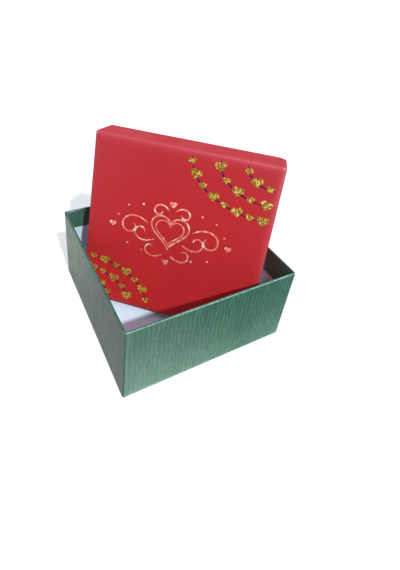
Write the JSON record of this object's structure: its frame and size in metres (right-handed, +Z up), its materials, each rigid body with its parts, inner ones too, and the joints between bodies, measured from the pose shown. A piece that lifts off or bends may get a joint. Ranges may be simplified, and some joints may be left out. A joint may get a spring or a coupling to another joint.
{
  "type": "gift box",
  "caption": "Square paper-covered gift box in two pieces: a deep base and a shallow lift-off lid that stands on edge inside it, leaning back.",
  "frame": {"origin": "middle of the base's underside, on the surface that it stands on", "axes": "+Z up, +X along the base's front wall to the right, +Y along its left wall towards the back"},
  "size_m": [0.2168, 0.2113, 0.2156],
  "materials": {
    "board": "matt grey chipboard with cut edges",
    "tape": "plain gummed paper tape",
    "lining": "matt white paper",
    "bottom_sheet": "matt white paper",
    "green_wrap": "printed art paper with a soft film sheen and fine wavy streaks",
    "red_wrap": "printed art paper with a soft film sheen",
    "copper_foil": "raised copper coloured foil",
    "gold_glitter": "gold glitter on clear glue",
    "plum_print": "plum coloured print"
  },
  "bodies": {
    "base": {"base_board": "board", "base_stay_front_left": "tape", "base_stay_front_right": "tape", "base_stay_back_right": "tape", "base_stay_back_left": "tape", "base_lining": "lining", "base_wrap": "green_wrap", "base_bottom_sheet": "bottom_sheet"},
    "lid": {"lid_board": "board", "lid_stay_low_left": "tape", "lid_stay_low_right": "tape", "lid_stay_high_right": "tape", "lid_stay_high_left": "tape", "lid_lining": "lining", "lid_wrap": "red_wrap"}
  },
  "joints": [
    {"name": "lid_lift", "type": "slide", "parent": "base", "child": "lid", "axis": [0, 0, 1], "range_m": [0, 0.15]}
  ]
}
